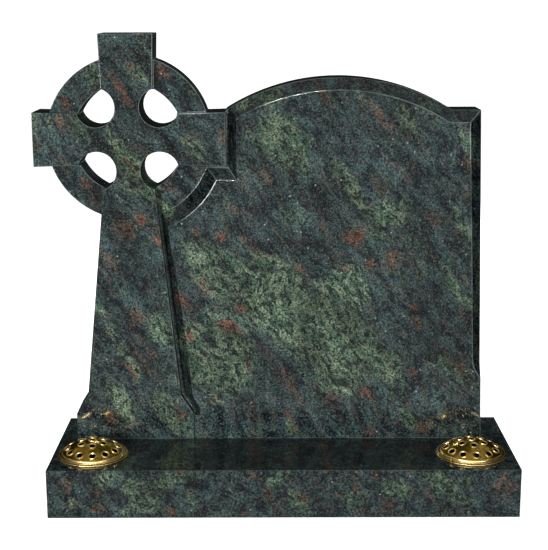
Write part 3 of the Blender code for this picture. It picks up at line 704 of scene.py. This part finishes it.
def stone_from(node_name, name, material, arris):
    """The CAD stone with its sharp corners taken off to a narrow arris."""
    mesh_data = bmesh.new()
    mesh_data.from_mesh(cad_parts[node_name].data)
    bmesh.ops.remove_doubles(mesh_data, verts=mesh_data.verts[:], dist=SHORTEST_EDGE)
    bmesh.ops.dissolve_limit(mesh_data, angle_limit=FLAT_ANGLE, verts=mesh_data.verts[:],
                             edges=mesh_data.edges[:])
    for face in mesh_data.faces:
        face.smooth = True
    made = piece(name, mesh_data, material, node_name)
    made.data.set_sharp_from_angle(angle=STONE_CORNER)
    # The bevel gives its faces a second material slot, which tells them apart and is then taken away
    made.data.materials.append(material)
    bevel = made.modifiers.new("arris", "BEVEL")
    bevel.width = arris
    bevel.segments = ARRIS_SEGMENTS
    bevel.use_clamp_overlap = False
    bevel.material = 1
    bevel.limit_method = "ANGLE"
    bevel.angle_limit = STONE_CORNER
    bevel.harden_normals = True
    bpy.context.view_layer.update()
    low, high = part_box(node_name)
    shaped = bpy.data.meshes.new_from_object(made.evaluated_get(bpy.context.evaluated_depsgraph_get()))
    made.modifiers.clear()
    mark_edges(shaped, [face.material_index == 1 for face in shaped.polygons])
    for face in shaped.polygons:
        face.material_index = 0
    shaped.materials.pop()
    for vertex in shaped.vertices:
        vertex.co = [min(max(value, least), most) for value, least, most in zip(vertex.co, low, high)]
    made.data = shaped


def ring_points(centre, radius, z, count):
    """Points once round a level circle."""
    return [Vector((centre[0] + radius * math.cos(2 * math.pi * step / count),
                    centre[1] + radius * math.sin(2 * math.pi * step / count), z)) for step in range(count)]


def turn(mesh_data, profile, centre, count, closed=True, placed=None):
    """Turn a profile of (radius, z) points round an axis, upright at centre or as placed by a matrix."""
    rows = []
    for radius, z in profile:
        if radius == 0.0:
            points = [Vector((centre[0], centre[1], z))]
        else:
            points = ring_points(centre, radius, z, count)
        if placed is not None:
            points = [placed @ point for point in points]
        rows.append([mesh_data.verts.new(point) for point in points])
    pairs = list(zip(rows, rows[1:]))
    if closed:
        pairs.append((rows[-1], rows[0]))
    for near, far in pairs:
        for step in range(count):
            after = (step + 1) % count
            if len(near) == 1 and len(far) == 1:
                break
            if len(near) == 1:
                corners = (near[0], far[step], far[after])
            elif len(far) == 1:
                corners = (near[step], near[after], far[0])
            else:
                corners = (near[step], near[after], far[after], far[step])
            mesh_data.faces.new(corners).smooth = True


def dome_height(radius):
    """Height of the lid's outer surface over the dome's foot at a distance from the axis."""
    rise = LID_TOP_Z - LID_RIM_Z - DOME_FOOT_RISE
    curve = (DOME_RADIUS ** 2 + rise ** 2) / (2 * rise)
    return rise - curve + math.sqrt(curve ** 2 - radius ** 2)


def upright_axis(label):
    """Where the axis of one side's container and lid stands."""
    low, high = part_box("flower_container_" + label)
    return ((low[0] + high[0]) / 2, (low[1] + high[1]) / 2)


def bright_ridge_faces(mesh, centre, low_z, ridges):
    """For each face, whether it is on one of the ridges round an axis and above a height."""
    flags = []
    for face in mesh.polygons:
        distance = math.hypot(face.center.x - centre[0], face.center.y - centre[1])
        flags.append(face.center.z > low_z and any(low < distance < high for low, high in ridges))
    return flags


def lid_shell(centre):
    """The turned half section of a lid: outer dome, stepped rim and skirt, and inner dome."""
    foot = LID_RIM_Z + DOME_FOOT_RISE
    outer = [DOME_RADIUS * step / DOME_ROWS for step in range(DOME_ROWS + 1)]
    outer = [(radius, foot + dome_height(radius)) for radius in outer]
    rim = [(radius, LID_RIM_Z + height) for radius, height in RIM_PROFILE]
    inner = [INNER_DOME_RADIUS * step / INNER_ROWS for step in range(INNER_ROWS, -1, -1)]
    inner = [(radius, foot - SHELL_THICKNESS + dome_height(radius)) for radius in inner]
    shell = bmesh.new()
    turn(shell, outer + rim + inner, centre, TURN_FACETS)
    bmesh.ops.recalc_face_normals(shell, faces=shell.faces[:])
    return shell


def lid(label, hole_turn, notch_angle, material):
    """A domed lid: turned rim and step, pierced dome, and a raised lip round every hole."""
    name = "pierced_lid_" + label
    centre = upright_axis(label)
    made = piece(name, lid_shell(centre), material, "flower_lid_" + label)
    holes = []
    for count, radius in HOLE_RINGS:
        holes += [(radius, math.radians(hole_turn - 90.0 + 360.0 * step / count)) for step in range(count)]
    drills = bmesh.new()
    lips = bmesh.new()
    for radius, angle in holes:
        slope = (dome_height(radius - SLOPE_STEP) - dome_height(radius + SLOPE_STEP)) / (2 * SLOPE_STEP)
        place = Vector((centre[0] + radius * math.cos(angle), centre[1] + radius * math.sin(angle),
                        LID_RIM_Z + DOME_FOOT_RISE + dome_height(radius)))
        placed = Matrix.Translation(place) @ Matrix.Rotation(angle, 4, "Z")
        placed = placed @ Matrix.Rotation(HOLE_LEAN * math.atan(slope), 4, "Y")
        turn(drills, HOLE_PROFILE, (0, 0), LIP_FACETS, False, placed)
        turn(lips, LIP_PROFILE, (0, 0), LIP_FACETS, True, placed)
    angle = math.radians(notch_angle)
    notch = Matrix.Translation((centre[0] + NOTCH_REACH * math.cos(angle),
                                centre[1] + NOTCH_REACH * math.sin(angle), LID_RIM_Z))
    turn(drills, NOTCH_PROFILE, (0, 0), LIP_FACETS, False, notch)
    for cutter in (drills, lips):
        bmesh.ops.recalc_face_normals(cutter, faces=cutter.faces[:])
    tool = bpy.data.objects.new(name + "_drill", bpy.data.meshes.new(name + "_drill"))
    drills.to_mesh(tool.data)
    bpy.context.scene.collection.objects.link(tool)
    cut = made.modifiers.new("holes", "BOOLEAN")
    cut.object = tool
    cut.solver = "EXACT"
    bpy.context.view_layer.update()
    pierced = bmesh.new()
    pierced.from_mesh(made.evaluated_get(bpy.context.evaluated_depsgraph_get()).to_mesh())
    made.modifiers.clear()
    # The lips follow the dome's faces in the mesh, so their rows can be told by number
    dome_faces = len(pierced.faces)
    lip_mesh = bpy.data.meshes.new(name + "_lips")
    lips.to_mesh(lip_mesh)
    pierced.from_mesh(lip_mesh)
    for face in pierced.faces:
        face.smooth = True
    pierced.to_mesh(made.data)
    made.data.set_sharp_from_angle(angle=LID_CORNER)
    flags = bright_ridge_faces(made.data, centre, LID_RIM_Z + RIDGE_CLEARANCE, LID_RIDGES)
    for index in range(dome_faces, len(flags)):
        flags[index] = (index - dome_faces) // LIP_FACETS % len(LIP_PROFILE) in LIP_BRIGHT_ROWS
    mark_edges(made.data, flags)
    bpy.data.objects.remove(tool)


def container(label, material):
    """A sunk flower cup with a flat flange, rounded at its edge and grooved under the lid's rim."""
    centre = upright_axis(label)
    cup = bmesh.new()
    turn(cup, [(radius, BASE_TOP_Z + height) for radius, height in CUP_PROFILE], centre, TURN_FACETS, False)
    bmesh.ops.recalc_face_normals(cup, faces=cup.faces[:])
    made = piece("flange_cup_" + label, cup, material, "flower_container_" + label)
    made.data.set_sharp_from_angle(angle=CUP_CORNER)
    mark_edges(made.data, bright_ridge_faces(made.data, centre, BASE_TOP_Z + TOUCH_GAP, FLANGE_RIDGES))


def backdrop():
    """A pale floor that sweeps up into a backdrop, glows by itself and stays out of the reflections."""
    rows = [(FLOOR_FRONT_Y, 0.0), (FLOOR_BACK_Y, 0.0)]
    for step in range(1, SWEEP_STEPS + 1):
        angle = math.pi / 2 * step / SWEEP_STEPS
        height = SWEEP_RADIUS - SWEEP_RADIUS * math.cos(angle)
        rows.append((FLOOR_BACK_Y + SWEEP_RADIUS * math.sin(angle), height))
    rows.append((FLOOR_BACK_Y + SWEEP_RADIUS, BACKDROP_TOP_Z))
    floor_mesh = bmesh.new()
    ends = (-FLOOR_HALF_WIDTH, FLOOR_HALF_WIDTH)
    edges = [[floor_mesh.verts.new((x, y, z)) for x in ends] for y, z in rows]
    for near, far in zip(edges, edges[1:]):
        floor_mesh.faces.new((near[0], near[1], far[1], far[0])).smooth = True
    mesh = bpy.data.meshes.new("floor")
    floor_mesh.to_mesh(mesh)
    floor_mesh.free()
    floor = bpy.data.objects.new("floor", mesh)
    bpy.context.scene.collection.objects.link(floor)
    material, tree, shader = shader_of("pale_floor")
    shader.inputs["Base Color"].default_value = linear(FLOOR_COLOUR)
    shader.inputs["Roughness"].default_value = FLOOR_ROUGHNESS
    shader.inputs["Specular IOR Level"].default_value = 0.0
    shader.inputs["Emission Color"].default_value = (1.0, 1.0, 1.0, 1.0)
    shader.inputs["Emission Strength"].default_value = FLOOR_GLOW
    mesh.materials.append(material)
    floor.visible_glossy = False
    floor.visible_diffuse = False


def surroundings():
    """A white world: at full strength for the camera, and dim for the stone but brighter in front."""
    world = bpy.data.worlds.new("studio")
    bpy.context.scene.world = world
    world.use_nodes = True
    tree = world.node_tree
    back = tree.nodes["Background"]
    toward = node(tree, "TexCoord", output="Generated")
    front = node(tree, "VectorMath", (toward, BRIGHT_SIDE), "Value", operation="DOT_PRODUCT")
    glow = node(tree, "MapRange", (front, *RAMPS["studio front"]), **SMOOTH)
    seen = node(tree, "LightPath", output="Is Camera Ray")
    strength = node(tree, "Math", (glow, seen), operation="MAXIMUM")
    tree.links.new(strength, back.inputs["Strength"])
    back.inputs["Color"].default_value = (1.0, 1.0, 1.0, 1.0)


def softbox(name, place, aim, size, watts, switched_off):
    """A rectangular area light at a place, facing its aim, with some kinds of visibility off."""
    light = bpy.data.lights.new(name, "AREA")
    light.shape = "RECTANGLE"
    light.size, light.size_y = size
    light.energy = watts
    made = bpy.data.objects.new(name, light)
    made.location = place
    made.rotation_euler = (Vector(aim) - Vector(place)).to_track_quat("-Z", "Y").to_euler()
    bpy.context.scene.collection.objects.link(made)
    for kind in switched_off:
        setattr(made, kind, False)


def camera():
    """The camera at the photograph's viewpoint."""
    data = bpy.data.cameras.new("camera")
    data.sensor_fit = "VERTICAL"
    data.sensor_height = SENSOR_MM
    data.lens = CAMERA_LENS_MM
    data.clip_end = 100.0
    ahead = Vector((math.sin(CAMERA_YAW) * math.cos(CAMERA_PITCH),
                    math.cos(CAMERA_YAW) * math.cos(CAMERA_PITCH), -math.sin(CAMERA_PITCH)))
    level = Vector((math.cos(CAMERA_YAW), -math.sin(CAMERA_YAW), 0.0))
    upright = level.cross(ahead)
    right = level * math.cos(CAMERA_ROLL) + upright * math.sin(CAMERA_ROLL)
    up = upright * math.cos(CAMERA_ROLL) - level * math.sin(CAMERA_ROLL)
    made = bpy.data.objects.new("camera", data)
    turned = Matrix((right, up, -ahead)).transposed().to_4x4()
    made.matrix_world = Matrix.Translation(CAMERA_PLACE) @ turned
    bpy.context.scene.collection.objects.link(made)
    bpy.context.scene.camera = made


bpy.context.scene.view_settings.view_transform = "Standard"

headstone_granite = granite("headstone_granite", HEADSTONE_SHIFT, HEADSTONE_SQUEEZE, OLIVE_CLOUDS,
                            RUST_PATCHES, DARK_BANDS, HEADSTONE_LIGHT)
base_granite = granite("base_granite", BASE_SHIFT, BASE_SQUEEZE, BASE_OLIVE_CLOUDS,
                       BASE_RUST_PATCHES, [], BASE_LIGHT)
stone_from("headstone", "carved_headstone", headstone_granite, HEADSTONE_ARRIS)
stone_from("base", "polished_base", base_granite, BASE_ARRIS)

lid_gilt = gilt("gilt_lid", LID_GILT, LID_WORN, LID_ROUGHNESS)
cup_gilt = gilt("gilt_cup", CUP_GILT, CUP_WORN, CUP_ROUGHNESS)
for label in ("left", "right"):
    container(label, cup_gilt)
for label, (hole_turn, notch_angle) in LID_TURNS.items():
    lid(label, hole_turn, notch_angle, lid_gilt)

backdrop()
surroundings()
for light in LIGHTS:
    softbox(*light)
camera()
